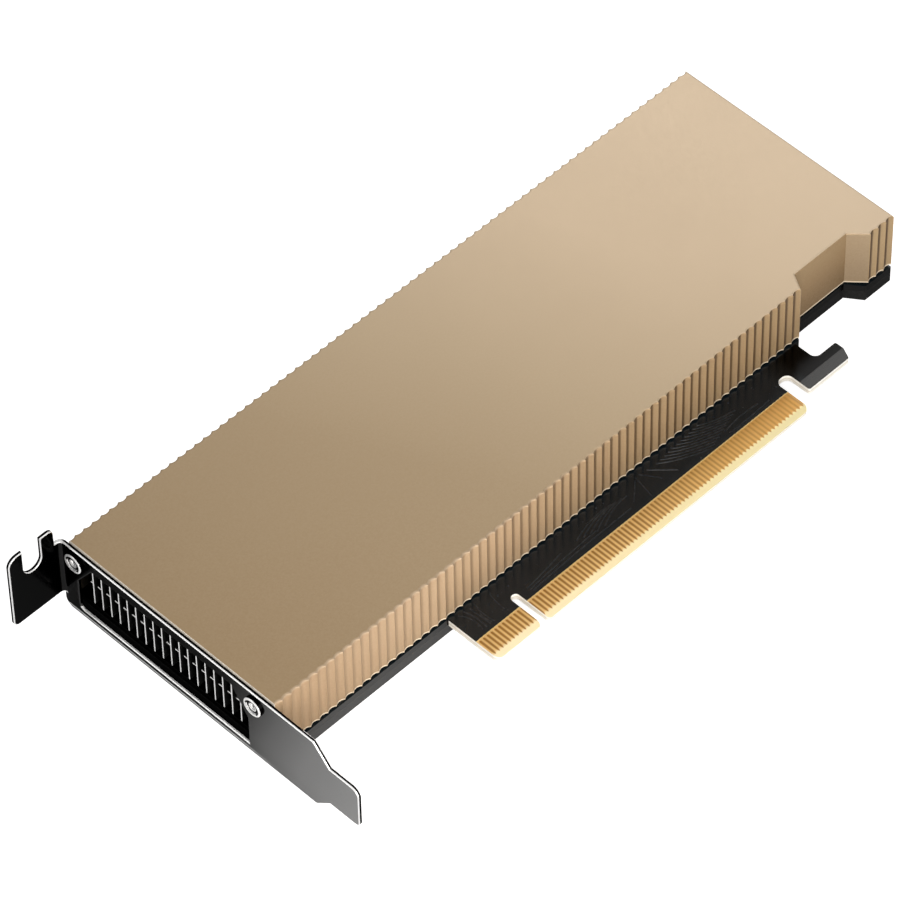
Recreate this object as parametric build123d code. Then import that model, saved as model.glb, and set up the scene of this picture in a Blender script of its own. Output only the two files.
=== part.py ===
from build123d import *
import math
import os

os.makedirs("parts", exist_ok=True)

# All sizes are in millimetres.
# X runs along the card from the bracket to the far end.
# Y runs from the edge contacts towards the card's top edge.
# Z runs out of the component side of the circuit board.
# The origin is on that side, at the key notch's centre line and the foot of the contact edge.

# Contact edge
contact_pitch = 1.0
contact_width = 0.7
contact_thick = 0.05
contact_foot = 1.25
contact_top = 5.85
short_count = 11
long_count = 71
key_width = 1.9
key_depth = 8.75
key_to_contact = 0.55
end_margin = 1.1
bevel_height = 1.2
bevel_depth = 0.4
tab_corner = 1.5
mouth_corner = 0.9

# Circuit board
board_thick = 1.57
board_top_y = 68.9
board_gap = 0.59
card_end = 110.2
body_front_y = 13.25
retention_width = 3.3
retention_top_y = 9.1
hook_foot_y = 3.2
hook_top_y = 7.75
hook_neck_width = 6.6
hook_reach = 5.7
hook_neck_radius = 1.5
hook_cut_x = 1.1
hook_cut_y = 2.4
hook_corner = 0.4
retention_corner = 1.45
tab_lap = 1.0

# Latch notch in the card's front edge
notch_start_x = 83.8
notch_lead_in = 2.0
notch_floor_y = 16.75
notch_floor_length = 14.6
notch_run_out = 2.5

# Fluted cover
flute_pitch = 2.2
flute_depth = 0.42
cover_back_y = 68.9
cover_foot_z = 0.59
cover_top_z = 14.81
cover_wall = 1.2
cover_roof = 1.2
cover_gap = 0.05
cover_edge_round = 0.4
rim_steps = 2
post_radius = 1.9
post_gap = 0.3
post_inset = 2.0
blind_depth = 0.5
cover_screw_xs = (-40.0, 24.0, 70.0)

# Bracket
sheet = 0.8
bracket_face_x = -57.39
bracket_top_z = 14.2
bracket_width = 18.42
seat_y = 70.1
bend_radius = 0.9
front_edge_round = 0.3
rear_edge_round = 0.15
tongue_top_z = 9.6
tongue_width = 10.5
tongue_tip_y = -8.7
shoulder_y = 2.8
shoulder_run = 4.0
foot_shoulder_y = 2.6
foot_shoulder_run = 3.7
bracket_corner = 2.0
heel_reach = 0.9
heel_corner = 0.6
tongue_corner = 2.0
foot_corner = 1.0
window_y = (20.3, 66.0)
window_z = (-2.2, 11.7)
window_cut_y = 4.1
window_cut_z = 6.1
window_corner = 1.2
ear_end_x = -70.1
ear_foot_z = -0.5
ear_tip_z = 18.75
slot_x = -64.37
slot_width = 4.42
slot_floor_z = 11.55
ear_corner = 1.4
prong_corner = 2.2
prong_width = 3.3
prong_flare = 0.15

# Bracket screws
bracket_screw_ys = (18.3, 66.4)
bracket_screw_z = 10.9
screw_head_radius = 2.25
screw_head_height = 0.7
screw_rim_round = 0.3
screw_dish = 0.25
screw_dish_radius = 1.5
screw_key_size = 1.6
screw_key_depth = 0.35
screw_radius = 1.0
screw_reach = 5.0
screw_gap = 0.05
hole_gap = 0.15
lug_width = 5.0
lug_depth = 4.7
lug_inset = 2.2
lug_lap = 0.5

# Heat sink
fin_count = 19
fin_pitch = 2.33
fin_first_y = 20.9
fin_sheet = 0.3
fin_gap_to_bracket = 0.3
fin_roof_gap = 0.2
fin_foot_z = 0.8
fin_step_x = -50.3
fin_end_x = 100.0
fin_last_lip = 0.5
spacer_z = 6.6
spacer_length = 1.5
spacer_reach = 0.95
base_start_x = -50.0
base_foot_z = 3.4
base_thick = 1.8
base_margin = 0.3
boss_radius = 2.4
base_screw_spots = ((-46.0, 24.0), (-46.0, 60.0), (95.0, 24.0), (95.0, 60.0))

# Processor package and the clamp behind it
processor_spot = (20.0, 42.0)
substrate_size = 36.0
stiffener_margin = 0.5
pedestal_margin = 1.0
substrate_thick = 1.2
die_size = (17.5, 17.0)
die_thick = 0.8
paste_thick = 0.1
stiffener_width = 4.0
stiffener_thick = 0.5
clamp_span = (23.0, 18.0)
clamp_thick = 0.6
clamp_ring = 26.0
clamp_opening = 17.0
clamp_arm = 5.0
clamp_head_radius = 1.8
clamp_head_height = 0.65
clamp_pad_radius = 3.0
clamp_key_radius = 0.6
clamp_key_depth = 0.32

# Memory, power parts and small parts
memory_xs = (-13.0, 53.0)
memory_ys = (27.0, 42.0, 57.0)
memory_size = (12.0, 14.0, 1.1)
memory_pad_thick = 0.5
memory_rib_inset = 1.0
coil_size = (7.0, 7.0, 3.0)
coil_step = 8.0
coil_count = 5
coil_corner = 0.6
coil_terminal = (0.4, 3.15, 1.2)
coil_x = 70.0
small_coil_x = -30.0
small_coil_ys = (30.0, 54.0)
coil_pad_thick = 0.4
stage_size = (5.0, 6.0, 0.9)
stage_offset = 8.5
stage_pad_thick = 0.5
bulk_size = (7.3, 4.3, 1.9)
bulk_x = 86.0
pad_inset = 0.5
ceramic_size = (1.0, 0.5, 0.5)
ceramic_pitch = 2.0
ceramic_count = 14
ceramic_row_gap = 2.0
rear_ceramic_pitch = 1.8
rear_column_count = 8
rear_row_count = 8
controller_spots = ((-38.0, 42.0), (62.0, 42.0))
controller_size = (5.0, 5.0, 0.9)
flash_spot = (2.0, 17.6)
flash_size = (6.0, 4.0, 0.8)
crystal_spot = (12.0, 17.6)
crystal_size = (3.2, 2.5, 0.7)

# Backplate and film
backplate_thick = 2.5
backplate_floor = 1.0
backplate_rim = 1.2
rear_boss_radius = 3.1
film_thick = 0.15
film_gap = 0.4
rear_head_radius = 1.9
rear_head_height = 1.1
rear_head_sink = 0.05
rear_key_radius = 0.75
rear_key_depth = 0.6
thread_engagement = 2.6

# How near two points count as the same
touch = 0.001

# Places worked out from the sizes above
tab_left_x = -(key_width / 2 + key_to_contact + (short_count - 1) * contact_pitch + end_margin)
tab_right_x = key_width / 2 + key_to_contact + (long_count - 1) * contact_pitch + end_margin
hook_inner_x = tab_right_x + retention_width
hook_neck_x = hook_inner_x + hook_neck_width
hook_tip_x = hook_neck_x + hook_reach
bracket_inner_x = bracket_face_x + sheet
face_top_y = seat_y - bend_radius
heel_y = face_top_y + heel_reach
ear_inner_x = bracket_face_x - bend_radius
board_start_x = bracket_inner_x + board_gap
cover_start_x = bracket_inner_x + cover_gap
first_arris_x = card_end - flute_pitch * math.ceil((card_end - bracket_inner_x) / flute_pitch)
notch_near_x = card_end - flute_pitch * round((card_end - notch_start_x) / flute_pitch)
notch_floor_start = notch_near_x + notch_lead_in
notch_floor_end = notch_floor_start + notch_floor_length
notch_far_x = notch_floor_end + notch_run_out
notch_far_arris = card_end - flute_pitch * math.floor((card_end - notch_far_x) / flute_pitch)
base_top_z = base_foot_z + base_thick
cover_inner_front = body_front_y + flute_depth + cover_wall
cover_inner_back = cover_back_y - flute_depth - cover_wall
roof_z = cover_top_z - cover_roof
fin_top_z = roof_z - fin_roof_gap
fin_start_x = bracket_inner_x + fin_gap_to_bracket
fin_last_y = fin_first_y + (fin_count - 1) * fin_pitch
base_front_y = fin_first_y - fin_sheet / 2 - base_margin
base_back_y = fin_last_y + fin_sheet / 2 + base_margin
front_post_y = body_front_y + flute_depth + post_radius + post_gap
back_post_y = cover_back_y - flute_depth - post_inset
rear_z = -board_thick
backplate_z = rear_z - backplate_thick
floor_z = backplate_z + backplate_floor
film_z = floor_z + film_thick
ceramic_row_ys = [processor_spot[1] + side * (substrate_size / 2 + ceramic_row_gap) for side in (-1, 1)]
coil_ys = [processor_spot[1] + coil_step * (i - (coil_count - 1) / 2) for i in range(coil_count)]
cover_spots = [(x, y) for x in cover_screw_xs for y in (front_post_y, back_post_y)]
clamp_spots = [
    (processor_spot[0] + sx * clamp_span[0], processor_spot[1] + sy * clamp_span[1])
    for sx in (-1, 1)
    for sy in (-1, 1)
]
through_spots = cover_spots + list(base_screw_spots)


def block(x0, x1, y0, y1, z0, z1):
    """A box between two corners."""
    return Pos((x0 + x1) / 2, (y0 + y1) / 2, (z0 + z1) / 2) * Box(abs(x1 - x0), abs(y1 - y0), abs(z1 - z0))


def slab(centre, size, z0):
    """A flat part of the given length, width and height on the plane z0."""
    x, y = centre
    return Pos(x, y, z0 + size[2] / 2) * Box(*size)


def rod(x, y, z0, z1, radius):
    """An upright cylinder."""
    return Pos(x, y, (z0 + z1) / 2) * Cylinder(radius, abs(z1 - z0))


def rod_x(y, z, x0, x1, radius):
    """A cylinder along the card."""
    return Pos((x0 + x1) / 2, y, z) * Rot(0, 90, 0) * Cylinder(radius, abs(x1 - x0))


def plate(outline, z0, z1):
    """An outline in the board's plane, raised from z0 to z1."""
    return extrude(Pos(0, 0, z0) * outline, amount=z1 - z0, dir=(0, 0, 1))


def plate_x(outline, x0, thick):
    """An outline drawn in Y and Z, thickened along the card from x0."""
    return extrude(Plane.YZ.offset(x0) * outline, amount=thick, dir=(1, 0, 0))


def plate_y(outline, y0, thick):
    """An outline drawn in X and Z, thickened across the card from y0."""
    return extrude(Plane.XZ.offset(-y0) * outline, amount=thick, dir=(0, 1, 0))


def rounded(outline, spots, radius):
    """Round the outline's corners nearest to the given spots."""
    corners = [min(outline.vertices(), key=lambda v: math.hypot(v.X - x, v.Y - y)) for x, y in spots]
    return fillet(corners, radius)


def group(shapes):
    """Separate solids of one kind, kept together."""
    solids = []
    for shape in shapes:
        solids += shape.solids()
    return Compound(solids)


def save(name, shape):
    export_step(shape, "parts/" + name + ".step")


# Body outline shared by the board and the backplate
def body_outline():
    return Polygon(
        (board_start_x, body_front_y),
        (notch_near_x, body_front_y),
        (notch_floor_start, notch_floor_y),
        (notch_floor_end, notch_floor_y),
        (notch_far_x, body_front_y),
        (card_end, body_front_y),
        (card_end, board_top_y),
        (board_start_x, board_top_y),
        align=None,
    )


# Circuit board with its contact tab, key notch, retention notch and hook
def make_board():
    tab = Polygon(
        (tab_left_x, 0),
        (tab_right_x, 0),
        (tab_right_x, retention_top_y),
        (hook_inner_x, retention_top_y),
        (hook_inner_x, hook_foot_y),
        (hook_tip_x - hook_cut_x, hook_foot_y),
        (hook_tip_x, hook_foot_y + hook_cut_y),
        (hook_tip_x, hook_top_y),
        (hook_neck_x, hook_top_y),
        (hook_neck_x, body_front_y + tab_lap),
        (tab_left_x, body_front_y + tab_lap),
        align=None,
    )
    tab = rounded(tab, [(tab_left_x, 0), (tab_right_x, 0)], tab_corner)
    tab = rounded(tab, [(tab_right_x, retention_top_y), (hook_inner_x, retention_top_y)], retention_corner)
    tab = rounded(tab, [(hook_neck_x, hook_top_y)], hook_neck_radius)
    tab = rounded(tab, [(hook_inner_x, hook_foot_y), (hook_tip_x - hook_cut_x, hook_foot_y)], hook_corner)
    tab = rounded(tab, [(hook_tip_x, hook_foot_y + hook_cut_y), (hook_tip_x, hook_top_y)], hook_corner)
    key = Pos(0, (key_depth - key_width / 2) / 2) * Rectangle(key_width, key_depth - key_width / 2)
    key += Pos(0, key_depth - key_width / 2) * Circle(key_width / 2)
    outline = body_outline() + tab - key
    outline = rounded(outline, [(-key_width / 2, 0), (key_width / 2, 0)], mouth_corner)
    board = plate(outline, rear_z, 0)
    for side in (0, rear_z):
        inward = -bevel_depth if side == 0 else bevel_depth
        wedge = Polygon((0, side), (bevel_height, side), (0, side + inward), align=None)
        board -= plate_x(wedge, tab_left_x, tab_right_x - tab_left_x)
    for x, y in through_spots + clamp_spots:
        board -= rod(x, y, rear_z, 0, screw_radius + hole_gap)
    return board


# Plated contacts on one side of the tab
def make_contacts(z0, z1):
    near = key_width / 2 + key_to_contact
    xs = [-near - i * contact_pitch for i in range(short_count)]
    xs += [near + i * contact_pitch for i in range(long_count)]
    half = contact_width / 2
    return group([block(x - half, x + half, contact_foot, contact_top, z0, z1) for x in xs])


# Cover outline with a concave flute between each pair of sharp arrises
def flutes(start, end, y, inward):
    count = round((end - start) / flute_pitch)
    edges = []
    for i in range(count):
        x0 = start + i * flute_pitch
        x1 = x0 + flute_pitch
        edges.append(ThreePointArc((x0, y), ((x0 + x1) / 2, y + inward), (x1, y)))
    return edges


def cover_outline():
    edges = flutes(first_arris_x, notch_near_x, body_front_y, flute_depth)
    edges.append(Line((notch_near_x, body_front_y), (notch_floor_start, notch_floor_y)))
    edges.append(Line((notch_floor_start, notch_floor_y), (notch_floor_end, notch_floor_y)))
    edges.append(Line((notch_floor_end, notch_floor_y), (notch_far_arris, body_front_y)))
    edges += flutes(notch_far_arris, card_end, body_front_y, flute_depth)
    edges.append(Line((card_end, body_front_y), (card_end, cover_back_y)))
    edges += flutes(first_arris_x, card_end, cover_back_y, -flute_depth)
    edges.append(Line((first_arris_x, cover_back_y), (first_arris_x, body_front_y)))
    return make_face(edges)


def cover_hollow():
    past = 10.0
    y0 = body_front_y + flute_depth
    y1 = cover_back_y - flute_depth
    inside = Polygon(
        (first_arris_x - past, y0),
        (notch_near_x, y0),
        (notch_floor_start, notch_floor_y),
        (notch_floor_end, notch_floor_y),
        (notch_far_arris, y0),
        (card_end + past, y0),
        (card_end + past, y1),
        (first_arris_x - past, y1),
        align=None,
    )
    return offset(inside, -cover_wall, kind=Kind.INTERSECTION)


# Soft top edge of the cover, drawn in from the outline in steps along a quarter circle
def rounded_rim(z0, radius):
    top = Pos(0, 0, z0) * cover_outline()
    rim = []
    for i in range(rim_steps):
        turn = math.radians(90 / rim_steps)
        rise = radius * (math.sin((i + 1) * turn) - math.sin(i * turn))
        drawn_in = radius * (math.cos(i * turn) - math.cos((i + 1) * turn))
        step = extrude(top, amount=rise, dir=(0, 0, 1), taper=math.degrees(math.atan2(drawn_in, rise)))
        rim.append(step)
        top = step.faces().sort_by(Axis.Z)[-1]
    return rim


def make_cover():
    cover = plate(cover_outline(), cover_foot_z, cover_top_z - cover_edge_round)
    cover += rounded_rim(cover_top_z - cover_edge_round, cover_edge_round)
    cover -= plate(cover_hollow(), 0, roof_z)
    cover -= block(first_arris_x - 1, cover_start_x, 0, cover_back_y + 1, 0, cover_top_z)
    for x, y in cover_spots:
        cover += rod(x, y, 0, roof_z, post_radius)
        cover -= rod(x, y, 0, thread_engagement + blind_depth, screw_radius + screw_gap)
    lug_end = bracket_inner_x + lug_depth
    lug_foot = bracket_screw_z - lug_width / 2
    front_lug = bracket_screw_ys[0] + lug_inset
    back_lug = bracket_screw_ys[1] - lug_inset
    cover += block(bracket_inner_x, lug_end, cover_inner_front - lug_lap, front_lug, lug_foot, roof_z)
    cover += block(bracket_inner_x, lug_end, back_lug, cover_inner_back + lug_lap, lug_foot, roof_z)
    for y in bracket_screw_ys:
        cover -= rod_x(y, bracket_screw_z, bracket_inner_x, lug_end, screw_radius + screw_gap)
    return cover


# One folded fin: a web, a lip along its top and foot, and a spacer finger by the outlet
def make_fin(y, lip):
    web = Polygon(
        (fin_start_x, fin_foot_z),
        (fin_step_x, fin_foot_z),
        (fin_step_x, base_top_z),
        (fin_end_x, base_top_z),
        (fin_end_x, fin_top_z),
        (fin_start_x, fin_top_z),
        align=None,
    )
    half = fin_sheet / 2
    fin = plate_y(web, y - half, fin_sheet)
    fin += block(fin_start_x, fin_end_x, y + half, y + half + lip, fin_top_z - fin_sheet, fin_top_z)
    fin += block(fin_step_x, fin_end_x, y + half, y + half + lip, base_top_z, base_top_z + fin_sheet)
    reach = min(spacer_reach, lip)
    finger_x = fin_start_x + spacer_length
    fin += block(fin_start_x, finger_x, y + half, y + half + reach, spacer_z, spacer_z + fin_sheet)
    return fin


def make_fin_stack():
    full_lip = fin_pitch - fin_sheet
    lips = [full_lip] * (fin_count - 1) + [fin_last_lip]
    return group([make_fin(fin_first_y + i * fin_pitch, lip) for i, lip in enumerate(lips)])


# Base plate with a pedestal or rib over each hot part and a boss at each screw
def make_base():
    die_top = substrate_thick + die_thick + paste_thick
    base = block(base_start_x, fin_end_x, base_front_y, base_back_y, base_foot_z, base_top_z)
    pedestal = (die_size[0] + 2 * pedestal_margin, die_size[1] + 2 * pedestal_margin, base_foot_z - die_top)
    base += slab(processor_spot, pedestal, die_top)
    pad_top = memory_size[2] + memory_pad_thick
    for x in memory_xs:
        for y in memory_ys:
            rib = (memory_size[0], memory_size[1] - 2 * memory_rib_inset, base_foot_z - pad_top)
            base += slab((x, y), rib, pad_top)
    stage_top = stage_size[2] + stage_pad_thick
    for x, y in stage_spots():
        base += slab((x, y), (stage_size[0], stage_size[1], base_foot_z - stage_top), stage_top)
    for x, y in list(base_screw_spots) + clamp_spots:
        base += rod(x, y, 0, base_foot_z, boss_radius)
        base -= rod(x, y, 0, thread_engagement + blind_depth, screw_radius + screw_gap)
    return base


def coil_spots():
    return [(coil_x, y) for y in coil_ys] + [(small_coil_x, y) for y in small_coil_ys]


def stage_spots():
    spots = [(coil_x + stage_offset, y) for y in coil_ys]
    return spots + [(small_coil_x - stage_offset, y) for y in small_coil_ys]


def inset(size, thick):
    return (size[0] - 2 * pad_inset, size[1] - 2 * pad_inset, thick)


# Wound coil in a moulded block, with a recess at each end for its terminal
def make_coil(spot):
    coil = slab(spot, coil_size, 0)
    coil = chamfer(coil.edges().filter_by(Axis.Z), coil_corner)
    for side in (-1, 1):
        coil -= slab((spot[0] + side * (coil_size[0] - coil_terminal[0]) / 2, spot[1]), coil_terminal, 0)
    return coil


def make_stiffener():
    side = substrate_size - 2 * stiffener_margin
    outer = Rectangle(side, side)
    opening = side - 2 * stiffener_width
    ring = Pos(*processor_spot) * (outer - Rectangle(opening, opening))
    return plate(ring, substrate_thick, substrate_thick + stiffener_thick)


def make_ceramics():
    spots = []
    for y in ceramic_row_ys:
        for i in range(ceramic_count):
            spots.append((processor_spot[0] + ceramic_pitch * (i - (ceramic_count - 1) / 2), y))
    return group([slab(spot, ceramic_size, 0) for spot in spots])


def make_rear_ceramics():
    solids = []
    for i in range(rear_column_count):
        for j in range(rear_row_count):
            x = processor_spot[0] + (i - (rear_column_count - 1) / 2) * rear_ceramic_pitch
            y = processor_spot[1] + (j - (rear_row_count - 1) / 2) * rear_ceramic_pitch
            solids.append(slab((x, y), ceramic_size, rear_z - ceramic_size[2]))
    return group(solids)


# Sprung cross plate that pulls the base down on the processor
def make_clamp():
    cross = Rectangle(clamp_ring, clamp_ring)
    for x, y in clamp_spots:
        dx = x - processor_spot[0]
        dy = y - processor_spot[1]
        reach = math.hypot(dx, dy)
        arm = Pos(reach / 2, 0) * Rectangle(reach, clamp_arm)
        cross += Rot(0, 0, math.degrees(math.atan2(dy, dx))) * arm
        cross += Pos(dx, dy) * Circle(clamp_pad_radius)
    cross -= Rectangle(clamp_opening, clamp_opening)
    for x, y in clamp_spots:
        cross -= Pos(x - processor_spot[0], y - processor_spot[1]) * Circle(screw_radius + hole_gap)
    return plate(Pos(*processor_spot) * cross, rear_z - clamp_thick, rear_z)


# Flat-head screw for the clamp
def clamp_screw(x, y):
    seat = rear_z - clamp_thick
    screw = rod(x, y, seat - clamp_head_height, seat, clamp_head_radius)
    screw += rod(x, y, seat, thread_engagement, screw_radius)
    screw -= rod(x, y, seat - clamp_head_height, seat - clamp_head_height + clamp_key_depth, clamp_key_radius)
    return screw


# Countersunk screw through the backplate and the board
def rear_screw(x, y):
    foot = backplate_z + rear_head_sink
    head_z = foot + rear_head_height / 2
    screw = Pos(x, y, head_z) * Cone(rear_head_radius, screw_radius, rear_head_height)
    screw += rod(x, y, foot + rear_head_height, thread_engagement, screw_radius)
    socket = Pos(x, y) * RegularPolygon(rear_key_radius, 6)
    screw -= plate(socket, foot, foot + rear_key_depth)
    return screw


def make_backplate():
    rim = body_outline() - offset(body_outline(), -backplate_rim, kind=Kind.INTERSECTION)
    pan = plate(body_outline(), backplate_z, floor_z) + plate(rim, floor_z, rear_z)
    for x, y in through_spots:
        pan += rod(x, y, floor_z, rear_z, rear_boss_radius) & plate(body_outline(), floor_z, rear_z)
        pan -= rod(x, y, backplate_z, rear_z, screw_radius + hole_gap)
        sink = rear_head_radius + rear_head_sink + screw_gap
        cone_height = rear_head_height + rear_head_sink
        pan -= Pos(x, y, backplate_z + cone_height / 2) * Cone(sink, screw_radius + hole_gap, cone_height)
    return pan


def make_film():
    film = plate(offset(body_outline(), -backplate_rim - film_gap, kind=Kind.INTERSECTION), floor_z, film_z)
    for x, y in through_spots:
        film -= rod(x, y, floor_z, film_z, rear_boss_radius + film_gap)
    return film


# Edges around one side of the folded sheet, at a depth behind its front, less those where its parts join
def sheet_edges(piece, depth):
    face_x = bracket_face_x + depth
    ear_y = seat_y + depth
    fold = bend_radius + depth
    edges = []
    for edge in piece.edges():
        ends = [(v.X, v.Y) for v in edge.vertices()]
        on_face = all(abs(x - face_x) < touch for x, y in ends)
        on_ear = all(abs(y - ear_y) < touch for x, y in ends)
        on_fold = all(abs(math.hypot(x - ear_inner_x, y - face_top_y) - fold) < touch for x, y in ends)
        at_face = all(abs(y - face_top_y) < touch for x, y in ends)
        at_ear = all(abs(x - ear_inner_x) < touch for x, y in ends)
        if (on_face or on_ear or on_fold) and not (at_face or at_ear):
            edges.append(edge)
    return edges


def softened(piece):
    piece = fillet(sheet_edges(piece, 0), front_edge_round)
    return fillet(sheet_edges(piece, sheet), rear_edge_round)


# Bracket: slotted ear, bend, windowed face and tongue, folded from one sheet
def make_bracket():
    foot_z = bracket_top_z - bracket_width
    tongue_foot_z = tongue_top_z - tongue_width
    face = Polygon(
        (face_top_y, bracket_top_z),
        (shoulder_y, bracket_top_z),
        (shoulder_y - shoulder_run, tongue_top_z),
        (tongue_tip_y, tongue_top_z),
        (tongue_tip_y, tongue_foot_z),
        (foot_shoulder_y - foot_shoulder_run, tongue_foot_z),
        (foot_shoulder_y, foot_z),
        (heel_y, foot_z),
        (heel_y, ear_foot_z),
        (face_top_y, ear_foot_z),
        align=None,
    )
    face = rounded(face, [(tongue_tip_y, tongue_top_z)], tongue_corner)
    face = rounded(face, [(tongue_tip_y, tongue_foot_z), (foot_shoulder_y, foot_z)], foot_corner)
    face = rounded(face, [(heel_y, foot_z)], bracket_corner)
    face = rounded(face, [(heel_y, ear_foot_z)], heel_corner)
    window = Polygon(
        (window_y[0], window_z[0]),
        (window_y[1], window_z[0]),
        (window_y[1], window_z[1] - window_cut_z),
        (window_y[1] - window_cut_y, window_z[1]),
        (window_y[0] + window_cut_y, window_z[1]),
        (window_y[0], window_z[1] - window_cut_z),
        align=None,
    )
    window = rounded(window, [(window_y[1], window_z[0])], window_corner)
    face -= window
    bracket = softened(plate_x(face, bracket_face_x, sheet))
    prong_x = slot_x + slot_width / 2 + prong_width
    ear = Polygon(
        (ear_inner_x, ear_foot_z),
        (ear_end_x, ear_foot_z),
        (ear_end_x, ear_tip_z),
        (prong_x, ear_tip_z),
        (prong_x + prong_flare, bracket_top_z),
        (ear_inner_x, bracket_top_z),
        align=None,
    )
    ear = rounded(ear, [(ear_end_x, ear_foot_z), (prong_x, ear_tip_z)], ear_corner)
    ear = rounded(ear, [(ear_end_x, ear_tip_z)], prong_corner)
    slot_arc_z = slot_floor_z + slot_width / 2
    ear -= Pos(slot_x, slot_arc_z) * Circle(slot_width / 2)
    ear -= Pos(slot_x, (slot_arc_z + ear_tip_z) / 2) * Rectangle(slot_width, ear_tip_z - slot_arc_z)
    bracket += softened(plate_y(ear, seat_y, sheet))
    outer_radius = bend_radius + sheet
    bend = Circle(outer_radius) - Circle(bend_radius)
    bend &= Pos(outer_radius / 2, outer_radius / 2) * Rectangle(outer_radius, outer_radius)
    bracket += softened(plate(Pos(ear_inner_x, face_top_y) * bend, ear_foot_z, bracket_top_z))
    for y in bracket_screw_ys:
        bracket -= rod_x(y, bracket_screw_z, bracket_face_x, bracket_inner_x, screw_radius + hole_gap)
    return bracket


def bracket_screw(y):
    face = bracket_face_x - screw_head_height
    screw = rod_x(y, bracket_screw_z, face, bracket_face_x, screw_head_radius)
    screw = fillet(screw.edges().sort_by(Axis.X)[0], screw_rim_round)
    screw += rod_x(y, bracket_screw_z, bracket_face_x, bracket_inner_x + screw_reach - sheet, screw_radius)
    screw -= rod_x(y, bracket_screw_z, face, face + screw_dish, screw_dish_radius)
    socket = Pos(y, bracket_screw_z) * RegularPolygon(screw_key_size / 2, 6)
    screw -= plate_x(socket, face, screw_dish + screw_key_depth)
    return screw


# Write every piece
save("cover", make_cover())
save("fin_stack", make_fin_stack())
save("base_plate", make_base())
save("circuit_board", make_board())
save("contacts_component_side", make_contacts(0, contact_thick))
save("contacts_solder_side", make_contacts(rear_z - contact_thick, rear_z))
save("bracket", make_bracket())
save("bracket_screws", group([bracket_screw(y) for y in bracket_screw_ys]))
save("backplate", make_backplate())
save("insulating_film", make_film())
save("cover_screws", group([rear_screw(x, y) for x, y in cover_spots]))
save("base_screws", group([rear_screw(x, y) for x, y in base_screw_spots]))
save("clamp_plate", make_clamp())
save("clamp_screws", group([clamp_screw(x, y) for x, y in clamp_spots]))

substrate = (substrate_size, substrate_size, substrate_thick)
die = (die_size[0], die_size[1], die_thick)
paste = (die_size[0], die_size[1], paste_thick)
save("processor_substrate", slab(processor_spot, substrate, 0))
save("processor_stiffener", make_stiffener())
save("processor_die", slab(processor_spot, die, substrate_thick))
save("processor_paste", slab(processor_spot, paste, substrate_thick + die_thick))

memory_spots = [(x, y) for x in memory_xs for y in memory_ys]
memory_pad = inset(memory_size, memory_pad_thick)
save("memory_chips", group([slab(spot, memory_size, 0) for spot in memory_spots]))
save("memory_pads", group([slab(spot, memory_pad, memory_size[2]) for spot in memory_spots]))
save("inductors", group([make_coil(spot) for spot in coil_spots()]))
coil_pad = inset(coil_size, coil_pad_thick)
save("inductor_pads", group([slab(spot, coil_pad, coil_size[2]) for spot in coil_spots()]))
stage_pad = inset(stage_size, stage_pad_thick)
save("power_stages", group([slab(spot, stage_size, 0) for spot in stage_spots()]))
save("power_stage_pads", group([slab(spot, stage_pad, stage_size[2]) for spot in stage_spots()]))
save("bulk_capacitors", group([slab((bulk_x, y), bulk_size, 0) for y in coil_ys]))
save("ceramic_capacitors", make_ceramics())
save("decoupling_capacitors", make_rear_ceramics())
save("power_controllers", group([slab(spot, controller_size, 0) for spot in controller_spots]))
save("flash_chip", slab(flash_spot, flash_size, 0))
save("clock_crystal", slab(crystal_spot, crystal_size, 0))
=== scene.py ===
import bpy
import bmesh
import math
from mathutils import Matrix, Vector


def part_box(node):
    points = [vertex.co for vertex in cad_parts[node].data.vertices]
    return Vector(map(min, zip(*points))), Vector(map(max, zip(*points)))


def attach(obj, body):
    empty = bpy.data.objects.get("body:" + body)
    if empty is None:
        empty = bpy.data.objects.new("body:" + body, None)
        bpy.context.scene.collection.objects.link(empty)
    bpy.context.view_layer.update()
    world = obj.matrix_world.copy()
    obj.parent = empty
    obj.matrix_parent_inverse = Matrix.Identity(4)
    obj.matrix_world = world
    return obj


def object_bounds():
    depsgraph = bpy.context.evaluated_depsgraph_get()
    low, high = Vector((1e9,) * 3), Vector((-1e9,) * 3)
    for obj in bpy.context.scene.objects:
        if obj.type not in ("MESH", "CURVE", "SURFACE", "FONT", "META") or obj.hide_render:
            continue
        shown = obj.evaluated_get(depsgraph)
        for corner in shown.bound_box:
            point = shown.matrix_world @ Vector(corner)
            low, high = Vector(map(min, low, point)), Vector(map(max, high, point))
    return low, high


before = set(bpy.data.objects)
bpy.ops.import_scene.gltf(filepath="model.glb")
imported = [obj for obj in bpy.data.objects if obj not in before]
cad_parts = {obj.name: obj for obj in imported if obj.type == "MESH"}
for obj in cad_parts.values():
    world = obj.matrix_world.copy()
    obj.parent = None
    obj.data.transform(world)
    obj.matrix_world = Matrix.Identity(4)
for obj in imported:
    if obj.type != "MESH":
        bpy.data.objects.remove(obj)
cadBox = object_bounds()
print("card loaded,", len(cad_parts), "nodes")

mm = 0.001

# camera at the photo's place, in the card's own frame
photoView = {
    "eye": (-0.50963, -0.50026, 0.90691),
    "right": (0.70566, -0.70841, -0.01391),
    "down": (-0.55056, -0.53585, -0.64011),
    "lens": 247.27,
    "sensor": 36.0,
    "clip": (0.05, 20.0),
}


def placeCamera():
    right = Vector(photoView["right"]).normalized()
    up = -Vector(photoView["down"]).normalized()
    back = right.cross(up)
    turn = Matrix((right, up, back)).transposed()
    camera = bpy.data.objects.new("photoCamera", bpy.data.cameras.new("photoCamera"))
    camera.data.lens = photoView["lens"]
    camera.data.sensor_width = photoView["sensor"]
    camera.data.clip_start, camera.data.clip_end = photoView["clip"]
    camera.matrix_world = Matrix.Translation(photoView["eye"]) @ turn.to_4x4()
    bpy.context.scene.collection.objects.link(camera)
    bpy.context.scene.camera = camera


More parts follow.
